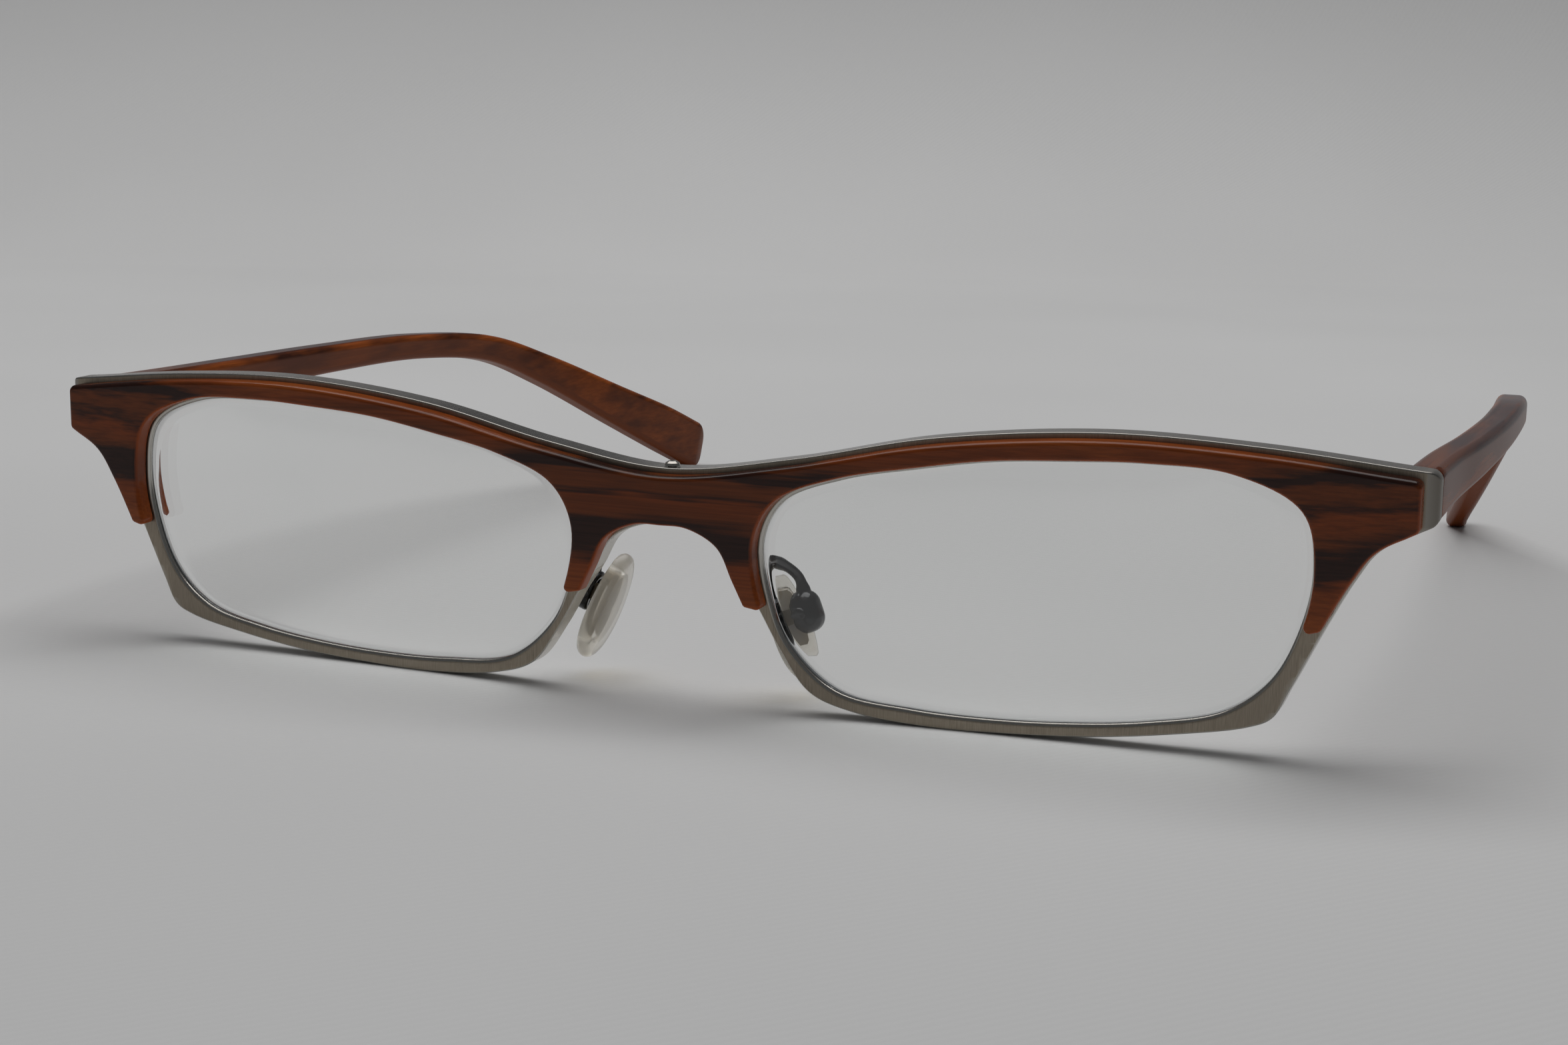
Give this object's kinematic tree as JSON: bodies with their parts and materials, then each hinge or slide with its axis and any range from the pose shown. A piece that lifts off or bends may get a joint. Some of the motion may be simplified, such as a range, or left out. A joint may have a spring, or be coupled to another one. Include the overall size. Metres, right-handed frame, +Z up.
{
  "type": "half rim eyeglasses",
  "caption": "Slim rectangular eyeglasses: brushed metal eyewires with a tortoise acetate brow, clear lenses, rocking nose pads and folding acetate temples.",
  "frame": {"origin": "centre of the bounding box's footprint, on the surface that the open glasses stand on, with their rims' lower edges and their temple tips", "axes": "+X to the wearer's left, square to the plane of symmetry; +Y from the front back along the temples; +Z up"},
  "size_m": [0.138, 0.1376, 0.0275],
  "materials": {
    "acetate": "polished",
    "brushed_metal": "brushed",
    "dark_metal": "satin",
    "steel": "polished",
    "lens_plastic": "polished",
    "clear_silicone": "satin",
    "insert_plastic": "satin"
  },
  "bodies": {
    "frame": {"metal_front": "brushed_metal", "front_brow": "acetate", "rear_bridge": "acetate", "bridge_screw": "brushed_metal", "rear_end_left": "acetate", "lens_left": "lens_plastic", "hinge_front_left": "steel", "hinge_screw_left": "steel", "end_rivet_left_1": "steel", "end_rivet_left_2": "steel", "pad_arm_left": "dark_metal", "pad_box_left": "dark_metal", "pad_screw_left": "steel", "rear_end_right": "acetate", "lens_right": "lens_plastic", "hinge_front_right": "steel", "hinge_screw_right": "steel", "end_rivet_right_1": "steel", "end_rivet_right_2": "steel", "pad_arm_right": "dark_metal", "pad_box_right": "dark_metal", "pad_screw_right": "steel"},
    "temple_left": {"temple_left": "acetate", "core_wire_left": "steel", "hinge_temple_left": "steel", "temple_rivet_left_1": "steel", "temple_rivet_left_2": "steel"},
    "nose_pad_left": {"nose_pad_left": "clear_silicone", "pad_insert_left": "insert_plastic"},
    "temple_right": {"temple_right": "acetate", "core_wire_right": "steel", "hinge_temple_right": "steel", "temple_rivet_right_1": "steel", "temple_rivet_right_2": "steel"},
    "nose_pad_right": {"nose_pad_right": "clear_silicone", "pad_insert_right": "insert_plastic"}
  },
  "joints": [
    {"name": "temple_left_fold", "type": "hinge", "parent": "frame", "child": "temple_left", "pos_m": [0.0629, -0.05828, 0.02246], "axis": [0, -0.0224, 0.9997], "range_deg": [0, 87]},
    {"name": "temple_right_fold", "type": "hinge", "parent": "frame", "child": "temple_right", "pos_m": [-0.0629, -0.05828, 0.02246], "axis": [0, 0.0224, -0.9997], "range_deg": [0, 80]},
    {"name": "nose_pad_left_rock", "type": "hinge", "parent": "frame", "child": "nose_pad_left", "pos_m": [0.01119, -0.05956, 0.0082], "axis": [-0.0523, -0.9984, 0.0211], "range_deg": [-10, 10]},
    {"name": "nose_pad_right_rock", "type": "hinge", "parent": "frame", "child": "nose_pad_right", "pos_m": [-0.01119, -0.05956, 0.0082], "axis": [-0.0523, 0.9984, -0.0211], "range_deg": [-10, 10]}
  ]
}
